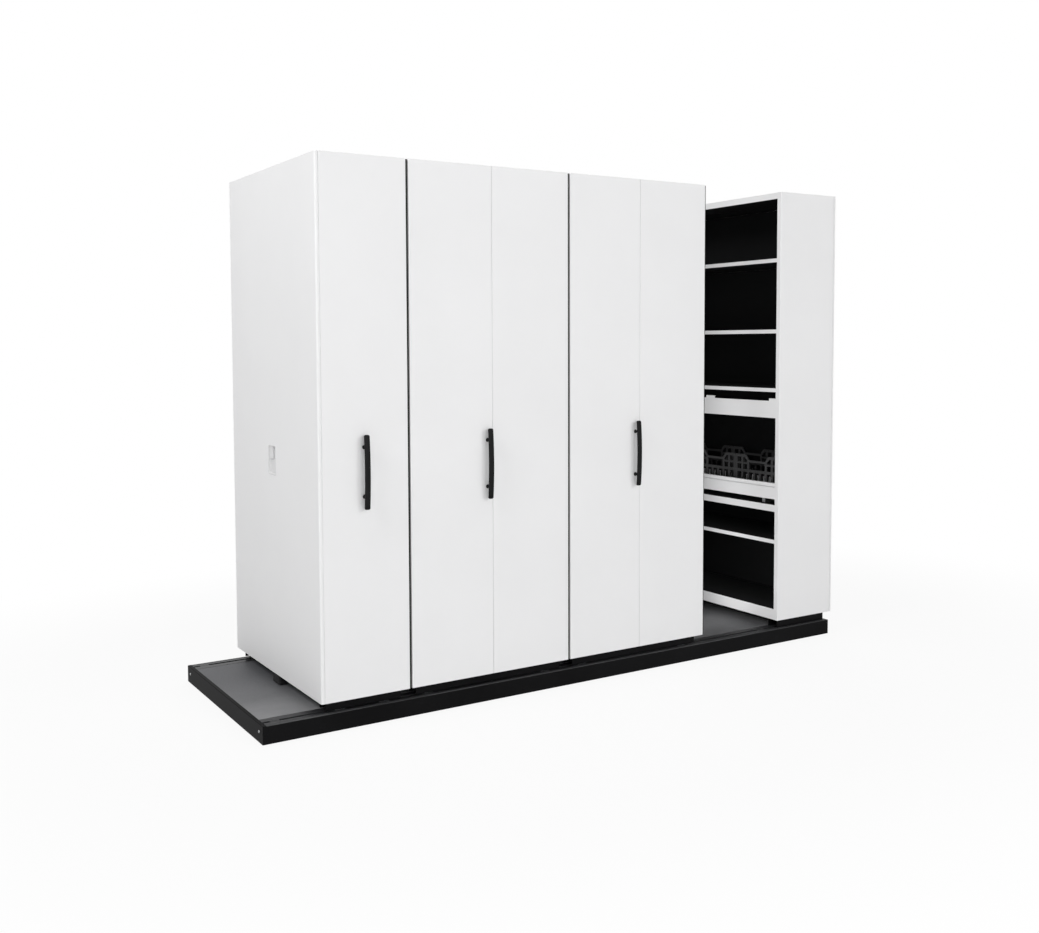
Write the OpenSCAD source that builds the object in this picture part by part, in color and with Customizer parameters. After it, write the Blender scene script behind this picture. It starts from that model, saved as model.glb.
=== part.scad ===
// Mobile filing shelving: three open-faced units that roll on a low platform with two sunk tracks,
// and a fixed fourth unit at the right end with a pull-out file frame and a roll-out tray.
// X runs along the tracks, Y from the front face to the rear, Z up from the floor.

/* [Units] */
// Width of one single-sided unit, along the tracks
bay_w = 400; // [320:10:480]
// Length of a unit from its front face to its rear face
unit_l = 1000; // [900:10:1300]
// Height of the end panels
panel_h = 2185; // [2100:5:2400]
// Closed gap between two neighbouring units
unit_gap = 12; // [8:1:20]
// Width of the open aisle in front of the fixed unit
aisle_w = 498; // [420:1:900]

/* [Platform] */
// Height of the platform deck above the floor
deck_h = 77; // [70:1:100]
// How far the platform runs out past the left unit
left_run = 245; // [200:5:600]
// How far the platform stops short of the fixed unit's right face
right_inset = 14; // [5:1:40]
// How far the platform's front edge stands back from the front panels
front_inset = 8; // [4:1:14]
// How far the platform's rear edge stands forward of the rear panels
rear_inset = 20; // [4:1:26]
// Thickness of the fascia boards
fascia_t = 16; // [12:1:18]
// Clearance of the fascia boards above the floor
fascia_lift = 3; // [2:1:10]
// Thickness of the deck boards and the track profiles
board_t = 30; // [24:1:36]
// Open line between a track and the deck
track_line = 3; // [1:0.5:5]
// Number of boards that make up the deck
boards = 3; // [2:1:4]
// Number of bearers under the deck
bearers = 7; // [5:1:9]
// Width of a bearer
bearer_w = 50; // [40:5:70]
// Height of a levelling foot
foot_h = 12; // [10:1:14]
// Radius of a levelling foot's pad
foot_r = 24; // [18:1:24]
// Head radius of the fascia screws
screw_r = 6; // [4:0.5:7]

/* [Tracks] */
// Width of a track profile
track_w = 67; // [60:1:72]
// Width of the groove that a wheel runs in
groove_w = 16; // [15:0.5:20]
// Depth of the groove
groove_d = 8; // [6:0.5:9]
// Distance from the platform's edge to the middle of the groove
groove_in = 42; // [40:1:44]

/* [Rolling base] */
// Radius of a wheel's tread
wheel_r = 40; // [36:1:42]
// Width of a wheel's tread
tread_w = 12; // [8:0.5:13]
// Radius of the axle
axle_r = 10; // [8:0.5:12]
// Distance from the end of a unit to its axle
axle_in = 100; // [90:5:110]
// Width of a wheel beam
beam_w = 60; // [58:1:62]
// Wall of the wheel beams and cross beams
beam_wall = 3; // [2:0.5:3]
// Setback of the base from the unit's faces
base_inset = 30; // [28:1:32]
// Thickness of a bearing block
block_t = 9; // [8:0.5:9.5]
// Clearance above the wheels, under the roof of a wheel beam
roof_gap = 1.7; // [1:0.1:4]
// Clearance of the rolling base above the deck
base_lift = 5; // [4:0.5:8]

/* [Panels] */
// Height of the panels' lower edge above the deck
plinth_h = 46; // [44:1:60]
// Depth of a folded end panel
panel_t = 25; // [20:1:27]
// Depth of the folded side panel that closes a single unit
side_t = 14; // [13:1:17]
// Thickness of the sheet steel
sheet = 1.5; // [1:0.25:2]
// Width of the folded hems
hem = 12; // [10:1:14]
// Open joint between two panels
panel_joint = 1.5; // [1:0.5:3]
// Outer radius of the end panels' folded edges
fold_r = 3; // [2.5:0.5:5]
// Outer radius of the side panel's folded edges
side_r = 8; // [5:0.5:9]

/* [Uprights and shelves] */
// Width of an upright along X
post_w = 30; // [26:1:34]
// Wall of an upright
post_wall = 2; // [1.5:0.5:2.5]
// Clearance between an upright and the hems of its end panel
post_gap = 2.5; // [1:0.5:8]
// Length of the foot plate that carries an upright on its wheel beam
foot_plate_l = 35; // [25:1:45]
// Spacing of the slots up an upright
slot_step = 60; // [30:5:60]
// Width of a slot
slot_w = 5; // [4:0.5:8]
// Height of a slot
slot_h = 14; // [11:1:16]
// Height of the lowest slot's middle above the panels' lower edge
slot_first = 103; // [80:1:120]
// Height of a shelf's front lip
lip_h = 20; // [16:1:28]
// Height of the bottom shelf's front lip
bottom_lip = 55; // [50:1:70]
// Height of the top cover's front lip
top_lip = 31; // [24:1:40]
// Setback of the shelves from a unit's open face
shelf_in = 2; // [1:0.5:5]
// Height of the first clipped shelf of a rolling unit above the panels' lower edge
first_shelf = 415; // [385:5:430]
// Spacing of the shelves of a rolling unit
shelf_step = 360; // [340:5:370]
// Number of clipped shelves in a rolling unit
shelf_count = 5; // [3:1:5]

/* [Fixed unit] */
// Height of its lower shelf above the panels' lower edge
low_shelf = 415; // [380:5:470]
// Height of the deep shelf that carries the roll-out tray
tray_shelf = 595; // [560:5:610]
// Height of the shelf above the file frame
mid_shelf = 1195; // [1180:5:1260]
// Height of the next shelf up
upper_shelf = 1495; // [1440:5:1540]
// Height of its highest shelf
high_shelf = 1855; // [1780:5:1880]
// Front lip of the shelf that carries the tray
tray_shelf_lip = 35; // [24:1:40]

/* [File frame] */
// Open gap between the frame's front rail and the shelf above it
file_gap = 33; // [20:1:50]
// Height of the frame's front rail
file_h = 100; // [80:1:105]
// Depth of the shallow cut-outs in its upper edge
file_cut_h = 13; // [6:1:20]
// Width of each cut-out
file_cut_w = 395; // [300:5:400]
// Half the width left standing between the two cut-outs
file_ear = 33; // [20:1:50]
// Depth of its front rail along X
file_rail_d = 18; // [12:1:24]
// Height of a slide
slide_h = 40; // [30:1:45]
// Width of a slide
slide_w = 12.5; // [11:0.5:14]

/* [Tray] */
// Gap between the carrying shelf and the tray, where the tray's slides lie
tray_lift = 29; // [24:1:32]
// Height of the tray's front
tray_front_h = 82; // [70:1:100]
// Height of the nosing along the top of the tray's front
nosing_h = 16; // [10:1:20]
// How far the nosing stands out
nosing_out = 3; // [2:0.5:6]
// Height of the finger groove under the nosing
groove_h = 6; // [4:1:10]
// Depth of the tray's front along X
tray_front_d = 18; // [14:1:20]
// Height of the tray's side walls
tray_wall_h = 60; // [40:1:66]
// Clearance of the tray beside the end panels
tray_side = 8; // [4:1:14]
// Distance from the tray's front face to the racks
rack_in = 38; // [30:1:60]
// Distance from the racks to the unit's closed side
rack_back = 70; // [60:5:150]
// Number of racks across the tray
racks = 3; // [2:1:3]
// Height of a rack's raised ends
rack_h = 209; // [195:1:225]
// How far the middle of a rack's wall drops below its ends
rack_drop = 29; // [20:1:36]
// Thickness of a rack's walls
rack_t = 6; // [4:0.5:8]
// Width of the bars in a rack's walls
rack_bar = 14.5; // [10:0.5:16]

/* [Handles] */
// Height of the handles' middle above the panels' lower edge
grip_z = 920; // [700:2:1200]
// Length of a bow handle
bow_l = 302; // [230:2:400]
// Width of a bow handle
bow_w = 24; // [18:1:30]
// Thickness of a bow handle
bow_t = 10; // [6:0.5:12]
// How far a bow handle stands out
bow_out = 37; // [34:1:60]
// How far the bow arches
bow_arch = 7; // [3:0.5:12]
// Spacing of the bow handle's two posts
bow_posts = 200; // [120:5:210]
// Radius of the posts
bow_post_r = 6; // [4:0.5:8]
// Distance of the handle from the joint of a double front
bow_side = 27; // [24:1:120]
// Height of the recessed pull's middle above the panels' lower edge
pull_z = 936; // [700:2:1200]
// Length of the recessed pull along Y
pull_l = 88; // [70:1:120]
// Height of the recessed pull
pull_h = 128; // [90:1:160]
// Depth of the recessed pull
pull_d = 11; // [8:0.5:12]

/* [Rubber] */
// Width of a seal strip's foot along Y
seal_w = 16; // [10:1:18]
// Width of the bump stop along Y
buffer_w = 80; // [50:5:120]
// Height of the bump stop
buffer_h = 36; // [24:1:40]

/* [Hidden] */

$fn = 32;

white = "#E8E8E8";
black = "#1B1A1C";
charcoal = "#5A5C5F";
zinc = "#A9ADB0";

// Where each unit starts along X, and how wide it is
double_w = 2 * bay_w;
left_x = 0;
middle_x = left_x + bay_w + unit_gap;
right_x = middle_x + double_w + unit_gap;
fixed_x = right_x + double_w + unit_gap + aisle_w;
end_x = fixed_x + bay_w;

// Platform edges
plat_x0 = -left_run;
plat_x1 = end_x - right_inset;
plat_y0 = front_inset;
plat_y1 = unit_l - rear_inset;

// Heights above the floor
panel_z = deck_h + plinth_h;
top_z = panel_z + panel_h;
run_z = deck_h - groove_d;
rolling_gap = 0.3;
closed_gap = 2;
wheel_z = run_z + rolling_gap + wheel_r;
base_top = wheel_z + wheel_r + roof_gap + beam_wall;

// The model's origin is on the floor, under the middle of its outer box
screw_head = 2.2;
mid_x = (plat_x0 - screw_head + end_x) / 2;
mid_y = (unit_l - bow_out) / 2;

// Inner platform lines
seat = 0.3;
track_y0 = plat_y0 + fascia_t + seat;
track_y1 = plat_y1 - fascia_t - seat;
front_groove = plat_y0 + groove_in;
rear_groove = plat_y1 - groove_in;
inner_x0 = plat_x0 + fascia_t;
inner_x1 = plat_x1 - fascia_t;

// Pieces between the end panels, whose folded edges hold the uprights
shelf_y0 = panel_t + seat;
shelf_y1 = unit_l - shelf_y0;
closed_edge = side_t + seat;
single_front = side_t + panel_joint;
post_in = single_front + hem + post_gap;
post_xs = [post_in, bay_w - post_in - post_w];
e = 0.01;

// The slides reach from one upright to the other, and the file frame hangs below its shelf
slide_x = post_in;
slide_l = bay_w - 2 * post_in;
file_z = mid_shelf - lip_h - file_gap - file_h;

// Places a piece in the model's frame from the frame of its unit
module placed(x = 0) translate([x - mid_x, -mid_y, 0]) children();

// A profile drawn in Y and Z, run along X
module along_x(len) rotate([90, 0, 90]) linear_extrude(len) children();

// A profile drawn in X and Z, run along Y
module along_y(len) translate([0, len, 0]) rotate([90, 0, 0]) linear_extrude(len) children();

// A rectangle whose four corners are rounded
module round_rect(w, h, r) {
    translate([r, 0]) square([w - 2 * r, h]);
    translate([0, r]) square([w, h - 2 * r]);
    for (x = [r, w - r], y = [r, h - r]) translate([x, y]) circle(r);
}

// A rectangle whose two lower corners are rounded
module fold_rect(w, h, r) {
    translate([r, 0]) square([w - 2 * r, h]);
    translate([0, r]) square([w, h - r]);
    intersection() {
        for (x = [r, w - r]) translate([x, r]) circle(r);
        square([w, r]);
    }
}

// A piece and its mirror image across the middle of the unit's length
module both_ends() {
    children();
    translate([0, unit_l, 0]) mirror([0, 1, 0]) children();
}

// Platform

// Track profile in Y and Z: a grooved top on three legs, its outer side at Y = 0
module track_profile(groove_y) {
    leg = 6;
    roof = groove_d + 5;
    difference() {
        square([track_w, board_t]);
        translate([groove_y - groove_w / 2, board_t - groove_d]) square([groove_w, groove_d + 1]);
        translate([leg, -1]) square([groove_y - 1.5 * leg, board_t - roof + 1]);
        translate([groove_y + leg / 2, -1])
            square([track_w - groove_y - 1.5 * leg, board_t - roof + 1]);
    }
}

module front_track() color(charcoal) placed()
    translate([inner_x0, track_y0, deck_h - board_t])
        along_x(inner_x1 - inner_x0) track_profile(front_groove - track_y0);

module rear_track() color(charcoal) placed()
    translate([inner_x0, track_y1, deck_h - board_t])
        along_x(inner_x1 - inner_x0) mirror([1, 0]) track_profile(track_y1 - rear_groove);

module deck_boards() color(charcoal) placed() {
    y0 = track_y0 + track_w + track_line;
    y1 = track_y1 - track_w - track_line;
    pitch = (inner_x1 - inner_x0) / boards;
    for (i = [0 : boards - 1])
        translate([inner_x0 + i * pitch + seat, y0, deck_h - board_t])
            cube([pitch - 2 * seat, y1 - y0, board_t]);
}

function bearer_x(i) = inner_x0 + i * (inner_x1 - inner_x0 - bearer_w) / (bearers - 1);

module deck_bearers() color(zinc) placed()
    for (i = [0 : bearers - 1])
        translate([bearer_x(i), track_y0, foot_h])
            difference() {
                cube([bearer_w, track_y1 - track_y0, deck_h - board_t - foot_h]);
                translate([beam_wall, -1, beam_wall])
                    cube([bearer_w - 2 * beam_wall, track_y1 - track_y0 + 2,
                          deck_h - board_t - foot_h - 2 * beam_wall]);
            }

// Foot: a rubber-shod pad with a short neck, turned about Z
module levelling_feet() color(black) placed()
    for (i = [0 : bearers - 1], y = [track_y0 + track_w / 2, track_y1 - track_w / 2])
        translate([bearer_x(i) + bearer_w / 2, y, 0])
            rotate_extrude()
                polygon([[0, 0], [foot_r, 0], [foot_r, 4], [foot_r - 4, 7], [9, 7], [9, foot_h],
                         [0, foot_h]]);

// The fascias' upper outer edge is rounded over
module fascia_profile(t) {
    r = 3;
    h = deck_h - fascia_lift;
    square([t, h - r]);
    translate([r, 0]) square([t - r, h]);
    translate([r, h - r]) circle(r);
}

module long_fascias() color(black) placed() {
    len = inner_x1 - inner_x0;
    translate([inner_x0, plat_y0, fascia_lift]) along_x(len) fascia_profile(fascia_t);
    translate([inner_x0, plat_y1, fascia_lift]) along_x(len) mirror([1, 0]) fascia_profile(fascia_t);
}

// Screw places on an end fascia, as Y and Z
screw_in = 40;
screw_z = 46;
shank_r = 2.5;
module at_screws() for (y = [plat_y0 + screw_in, plat_y1 - screw_in]) translate([0, y, screw_z]) children();

module end_fascia() difference() {
    translate([0, plat_y0, fascia_lift]) along_y(plat_y1 - plat_y0) fascia_profile(fascia_t);
    at_screws() translate([-1, 0, 0]) rotate([0, 90, 0]) cylinder(r = shank_r + 0.1, h = fascia_t + 2);
}

module screw() {
    translate([-screw_head, 0, 0]) rotate([0, 90, 0])
        cylinder(r1 = screw_r - screw_head / 2, r2 = screw_r, h = screw_head);
    rotate([0, 90, 0]) cylinder(r = shank_r, h = fascia_t - 1);
}

module end_fascias() color(black) placed() {
    translate([plat_x0, 0, 0]) end_fascia();
    translate([plat_x1, 0, 0]) mirror([1, 0, 0]) end_fascia();
}

module fascia_screws() color(zinc) placed() {
    translate([plat_x0, 0, 0]) at_screws() screw();
    translate([plat_x1, 0, 0]) mirror([1, 0, 0]) at_screws() screw();
}

// A wheel's tread meets a stop block a little above the running surface
stop_reach = sqrt(wheel_r * wheel_r - pow(wheel_r - groove_d + rolling_gap, 2));
left_rest = 10;
left_travel = left_run - left_rest;
stop_gap = 1;
stop_l = 40;
module track_end_stops() color(black) placed() {
    left_end = left_x + axle_in - left_travel - stop_reach - stop_gap;
    right_end = right_x + double_w - axle_in + aisle_w - closed_gap + stop_reach + stop_gap;
    for (x = [left_end - stop_l, right_end], y = [front_groove, rear_groove])
        translate([x, y - groove_w / 2 + seat, run_z]) cube([stop_l, groove_w - 2 * seat, groove_d]);
}

// Rolling base

// Inverted channel in Y and Z: a roof and two flanges, open below
module channel_profile(w, h) difference() {
    square([w, h]);
    translate([beam_wall, -1]) square([w - 2 * beam_wall, h - beam_wall + 1]);
}

// The wheel beam at the front of a unit; axle_xs lists where an axle passes its inner flange
module wheel_beam(w, z0, axle_xs) difference() {
    translate([base_inset, base_inset, z0])
        along_x(w - 2 * base_inset) channel_profile(beam_w, base_top - z0);
    for (x = axle_xs)
        translate([x, base_inset + beam_w / 2, wheel_z])
            rotate([-90, 0, 0]) cylinder(r = axle_r + 4, h = beam_w);
}

cross_h = 50;
cross_w = 30;
module cross_beam(x) translate([x, base_inset + beam_w, base_top - cross_h])
    difference() {
        cube([cross_w, unit_l - 2 * (base_inset + beam_w), cross_h]);
        translate([beam_wall, -1, beam_wall])
            cube([cross_w - 2 * beam_wall, unit_l, cross_h - 2 * beam_wall]);
    }

// Base of a unit of width w: two beams along X and cross beams between them
module base_frame(w, z0, axle_xs) {
    both_ends() wheel_beam(w, z0, axle_xs);
    cross_beam(base_inset);
    cross_beam(w - base_inset - cross_w);
    if (w > bay_w) cross_beam(w / 2 - cross_w / 2);
}

module fixed_base() color(black) placed(fixed_x) base_frame(bay_w, deck_h, []);

module rolling_base(x, w) color(black) placed(x)
    base_frame(w, deck_h + base_lift, [axle_in, w - axle_in]);

// Bearing block: round under the axle, square above it, bored to run
block_r = axle_r + 9;
bore_gap = 0.05;
module bearing_block(x, y) translate([x, y, wheel_z])
    difference() {
        union() {
            rotate([-90, 0, 0]) cylinder(r = block_r, h = block_t);
            translate([-block_r, 0, 0]) cube([2 * block_r, block_t, block_r]);
        }
        translate([0, -1, 0]) rotate([-90, 0, 0]) cylinder(r = axle_r + bore_gap, h = block_t + 2);
    }

module bearings(x, w) color(zinc) placed(x) for (a = [axle_in, w - axle_in]) both_ends() {
    bearing_block(a, base_inset + beam_wall);
    bearing_block(a, base_inset + beam_w);
}

// Wheel outline in radius and axle direction, centred on its own middle
hub_r = axle_r + 8;
hub_w = 14;
rim_t = 8;
web_w = 5;
function wheel_points(c) = [
    [axle_r, c - hub_w / 2], [hub_r, c - hub_w / 2], [hub_r, c - web_w / 2],
    [wheel_r - rim_t, c - web_w / 2], [wheel_r - rim_t, c - tread_w / 2],
    [wheel_r - 1, c - tread_w / 2], [wheel_r, c - tread_w / 2 + 1],
    [wheel_r, c + tread_w / 2 - 1], [wheel_r - 1, c + tread_w / 2],
    [wheel_r - rim_t, c + tread_w / 2], [wheel_r - rim_t, c + web_w / 2],
    [hub_r, c + web_w / 2], [hub_r, c + hub_w / 2], [axle_r, c + hub_w / 2]];

// An axle with its two wheels pressed on, turned as one outline
module axle(x) color(zinc) placed(x) {
    y0 = base_inset + beam_wall + 1;
    y1 = unit_l - y0;
    translate([0, 0, wheel_z]) rotate([-90, 0, 0]) rotate_extrude($fn = 64)
        polygon(concat([[0, y0], [axle_r, y0]], wheel_points(front_groove),
                       wheel_points(rear_groove), [[axle_r, y1], [0, y1]]));
}

// Panels

// Front panel from x0 to x1: a folded tray, open towards the unit, with hems
module end_panel(x0, x1) {
    w = x1 - x0;
    translate([x0, 0, panel_z]) {
        linear_extrude(panel_h) difference() {
            fold_rect(w, panel_t, fold_r);
            translate([sheet, sheet]) fold_rect(w - 2 * sheet, panel_t - 2 * sheet, fold_r - sheet);
            translate([hem, 2 * sheet]) square([w - 2 * hem, panel_t]);
        }
        for (z = [0, panel_h - sheet])
            translate([0, 0, z]) linear_extrude(sheet) fold_rect(w, panel_t, fold_r);
    }
}

module left_end_panels() color(white) placed(left_x) both_ends() end_panel(single_front, bay_w);

module fixed_end_panels() color(white) placed(fixed_x) both_ends() end_panel(0, bay_w - single_front);

module double_end_panels(x) color(white) placed(x) both_ends() {
    end_panel(0, bay_w - panel_joint / 2);
    end_panel(bay_w + panel_joint / 2, double_w);
}

// Closing side of a single unit: a shallow folded tray whose long edges are rounded, outer face at X = 0
module side_outline(in) translate([in, unit_l - in]) rotate(-90)
    fold_rect(unit_l - 2 * in, side_t - 2 * in, side_r - in);

module side_panel() translate([0, 0, panel_z]) {
    linear_extrude(panel_h) difference() {
        side_outline(0);
        side_outline(sheet);
        translate([2 * sheet, hem]) square([side_t, unit_l - 2 * hem]);
    }
    for (z = [0, panel_h - sheet]) translate([0, 0, z]) linear_extrude(sheet) side_outline(0);
}

module fixed_back_panel() color(white) placed(end_x) mirror([1, 0, 0]) side_panel();

// The left unit's side has a cut-out that the recessed pull drops into
pull_rim = 3;
module left_side_panel() color(white) placed(left_x) difference() {
    side_panel();
    translate([-1, unit_l / 2, panel_z + pull_z]) along_x(sheet + 2) pull_outline(pull_rim - 1);
}

// Uprights and shelves

slot_last = floor((panel_h - 2 * sheet - slot_first - slot_h / 2) / slot_step);
function slot_z(k) = panel_z + slot_first + k * slot_step;

// Front upright, let into its end panel: a slotted web facing the shelves, two flanges whose hems
// lie on the panel's face sheet, and a foot plate that carries it on the wheel beam
module upright(x) {
    h = top_z - sheet - base_top;
    d = panel_t - sheet;
    lap = 7;
    translate([x, sheet, base_top]) {
        translate([0, d, 0]) rotate([90, 0, 0]) linear_extrude(post_wall) difference() {
            square([post_w, h]);
            for (k = [0 : slot_last])
                translate([post_w / 2 - slot_w / 2, slot_z(k) - slot_h / 2 - base_top])
                    square([slot_w, slot_h]);
        }
        for (x1 = [0, post_w - post_wall]) translate([x1, 0, 0]) cube([post_wall, d - post_wall + e, h]);
        for (x1 = [0, post_w - lap]) translate([x1, 0, 0]) cube([lap, post_wall, h]);
        cube([post_w, d + foot_plate_l, foot_plate_t]);
    }
}

foot_plate_t = 4;
module uprights(x, bays) color(white) placed(x)
    for (bay = [0 : bays - 1], post = post_xs) both_ends() upright(bay * bay_w + post);

// Half of a shelf's outline in X and Z from its top face down: half the plate, a lip and its hem
module lip_profile(w, lip) {
    r = 2;
    difference() {
        translate([0, -lip]) {
            square([w, lip - r]);
            translate([r, 0]) square([w - r, lip]);
            translate([r, lip - r]) circle(r);
        }
        translate([sheet, -lip + sheet]) square([w, lip - 2 * sheet]);
        translate([hem, -lip - 1]) square([w, lip - sheet + 1]);
    }
}

// Shelf from x0 to x1 with its top at z, and with a lip of its own height on each long side
module shelf(x0, x1, z, near_lip, far_lip) {
    half = (x1 - x0) / 2;
    translate([x0, shelf_y0, z]) along_y(shelf_y1 - shelf_y0) {
        lip_profile(half, near_lip);
        translate([2 * half, 0]) mirror([1, 0]) lip_profile(half, far_lip);
    }
}

// The bottom shelf stands on the base with a folded web near each end, clear of the foot plates
bottom_z = panel_z + bottom_lip;
web_in = hem + 1;
web_gap = 5;
module bottom_shelf(x0, x1, far_lip) {
    shelf(x0, x1, bottom_z, bottom_lip, far_lip);
    both_ends() translate([x0 + web_in, panel_t + foot_plate_l + web_gap, base_top])
        cube([x1 - x0 - 2 * web_in, sheet, bottom_z - base_top - sheet + e]);
}

module clipped_shelves(x0, x1, levels) for (l = levels) shelf(x0, x1, panel_z + l, lip_h, lip_h);

module left_shelves() color(white) placed(left_x) {
    bottom_shelf(closed_edge, bay_w - shelf_in, bottom_lip);
    clipped_shelves(closed_edge, bay_w - shelf_in, roll_levels);
}

// The bottom shelves of a double unit meet over its base, so their inner lips end on the base
module double_shelves(x) color(white) placed(x) halves() {
    bottom_shelf(shelf_in, bay_w - shelf_in, bottom_z - base_top - seat);
    clipped_shelves(shelf_in, bay_w - shelf_in, roll_levels);
}

module fixed_shelves() color(white) placed(fixed_x) {
    bottom_shelf(shelf_in, bay_w - closed_edge, bottom_lip);
    clipped_shelves(shelf_in, bay_w - closed_edge, fixed_levels);
    shelf(shelf_in, bay_w - closed_edge, panel_z + tray_shelf, tray_shelf_lip, tray_shelf_lip);
}

// Shelf clip: a lug in the nearest slot below, a back plate, and a tab under the shelf
clip_w = 24;
clip_t = 2;
clip_l = 14;
lug_gap = 0.2;
module clip(x, level) {
    under = panel_z + level - sheet;
    z = slot_z(floor((under - clip_t - slot_h / 2 - slot_z(0)) / slot_step));
    translate([x + post_w / 2, panel_t, 0]) {
        translate([-clip_w / 2, 0, z - slot_h / 2]) cube([clip_w, clip_t, under - z + slot_h / 2]);
        translate([-clip_w / 2, 0, under - clip_t]) cube([clip_w, clip_l, clip_t]);
        translate([-slot_w / 2 + lug_gap, -post_wall - 1, z - slot_h / 2 + lug_gap])
            cube([slot_w - 2 * lug_gap, post_wall + 1 + e, slot_h - 2 * lug_gap]);
    }
}

// Clips of each bay under the given shelves and under the top cover
module shelf_clips(x, bays, levels) color(zinc) placed(x)
    for (bay = [0 : bays - 1], post = post_xs, l = concat(levels, [panel_h]))
        both_ends() clip(bay * bay_w + post, l);

// Top cover: a plate that closes a bay, with a deep lip on each long side
module top_cover(x0, x1) shelf(x0, x1, top_z, top_lip, top_lip);

module left_top_cover() color(white) placed(left_x) top_cover(closed_edge, bay_w - shelf_in);

module double_top_covers(x) color(white) placed(x) halves() top_cover(shelf_in, bay_w - shelf_in);

module fixed_top_cover() color(white) placed(fixed_x) top_cover(shelf_in, bay_w - closed_edge);

// The pieces of a double unit's left half, and their mirror image in its right half
module halves() {
    children();
    translate([double_w, 0, 0]) mirror([1, 0, 0]) children();
}

roll_levels = [for (i = [0 : shelf_count - 1]) first_shelf + i * shelf_step];
fixed_levels = [low_shelf, mid_shelf, upper_shelf, high_shelf];
fixed_clip_levels = concat(fixed_levels, [tray_shelf]);

// Handles

// Bow handle, its middle at x on the front face: an arched bar with square-cut ends on two posts
bow_r = (pow(bow_l / 2, 2) + pow(bow_arch, 2)) / (2 * bow_arch);
bow_corner = 4;
post_foot = 1.5;
module bow_handle(x) color(black) placed(x) translate([0, 0, panel_z + grip_z]) {
    intersection() {
        translate([-bow_w / 2, 0, 0]) along_x(bow_w)
            translate([bow_r - bow_out, 0]) difference() {
                circle(bow_r, $fn = 720);
                circle(bow_r - bow_t, $fn = 720);
            }
        translate([0, -bow_out - 1, 0]) along_y(bow_out)
            translate([-bow_w / 2, -bow_l / 2]) round_rect(bow_w, bow_l, bow_corner);
    }
    for (z = [-bow_posts / 2, bow_posts / 2]) translate([0, 0, z]) rotate([90, 0, 0]) {
        cylinder(r = bow_post_r, h = bow_out - bow_t / 2 - pow(z, 2) / (2 * bow_r));
        cylinder(r1 = bow_post_r + 2 * post_foot, r2 = bow_post_r + post_foot, h = 2 * post_foot);
    }
}

// The pull's outline in Y and Z about its middle, its edge set in by d
pull_corner = 10;
module pull_outline(d) translate([d - pull_l / 2, d - pull_h / 2])
    round_rect(pull_l - 2 * d, pull_h - 2 * d, pull_corner - d);

// Recessed pull: a shallow cup behind a thin rim, with a raised finger tab in its upper rear part
module left_flush_pull() color(white) placed(left_x) translate([0, unit_l / 2, panel_z + pull_z]) {
    rim_t = 1.2;
    wall = 1.5;
    tab_in = 4;
    tab_deep = 3;
    difference() {
        union() {
            translate([-rim_t, 0, 0]) along_x(rim_t) pull_outline(0);
            translate([-e, 0, 0]) along_x(pull_d) pull_outline(pull_rim);
        }
        translate([-rim_t - 1, 0, 0]) along_x(rim_t + 1 + pull_d - wall) pull_outline(pull_rim + wall);
    }
    translate([tab_deep, -tab_in, tab_in]) along_x(pull_d - tab_deep - wall / 2)
        round_rect(pull_l / 2 - pull_rim + tab_in - wall / 2, pull_h / 2 - pull_rim - tab_in - wall / 2, 6);
}

// Rubber

// Seal strip in X and Y: a flat foot on the panel's edge and a round bulb
module seal_profile() {
    bulb_r = (unit_gap - rolling_gap - 1) / 2;
    square([3, seal_w]);
    translate([unit_gap - rolling_gap - bulb_r, seal_w / 2]) circle(bulb_r);
    translate([0, seal_w / 2 - bulb_r]) square([unit_gap - rolling_gap - bulb_r, 2 * bulb_r]);
}

seal_in = 2;
module seals(x, w) color(black) placed(x) both_ends()
    translate([w, (panel_t - seal_w) / 2, panel_z + seal_in])
        linear_extrude(panel_h - 2 * seal_in) seal_profile();

// Bump stop on the left face of the base
module left_bump_stop() color(black) placed(left_x) {
    r = 8;
    translate([base_inset, unit_l / 2 - buffer_w / 2, deck_h + base_lift])
        linear_extrude(buffer_h) mirror([1, 0]) {
            square([base_inset - r, buffer_w]);
            translate([0, r]) square([base_inset - 1, buffer_w - 2 * r]);
            for (y = [r, buffer_w - r]) translate([base_inset - r - 1, y]) circle(r);
        }
}

// File frame and tray of the fixed unit

slide_gap = 0.3;
slide_wall = 1.5;
frame_lap = 10;
slide_z = panel_z + file_z + frame_lap;
tray_z = panel_z + tray_shelf + tray_lift;
runner_y = 120;
runner_w = 20;
runner_h = tray_lift - 5;

// Outer members: a C on each upright for the file frame, a trough on the shelf for the tray
module fixed_slide_rails() color(zinc) placed(fixed_x) both_ends() {
    translate([slide_x, panel_t, slide_z]) along_x(slide_l) difference() {
        square([slide_w, slide_h]);
        translate([slide_wall, slide_wall]) square([slide_w, slide_h - 2 * slide_wall]);
    }
    translate([slide_x, runner_y, panel_z + tray_shelf]) along_x(slide_l) difference() {
        square([runner_w, runner_h]);
        translate([slide_wall, slide_wall]) square([runner_w - 2 * slide_wall, runner_h]);
    }
}

file_y0 = panel_t + slide_w + 0.2;
module file_frame_slides() color(zinc) placed(fixed_x) both_ends()
    translate([slide_x, panel_t + slide_wall + slide_gap, slide_z + slide_wall + slide_gap])
        along_x(slide_l)
            square([file_y0 - panel_t - slide_wall - slide_gap, slide_h - 2 * (slide_wall + slide_gap)]);

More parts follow.
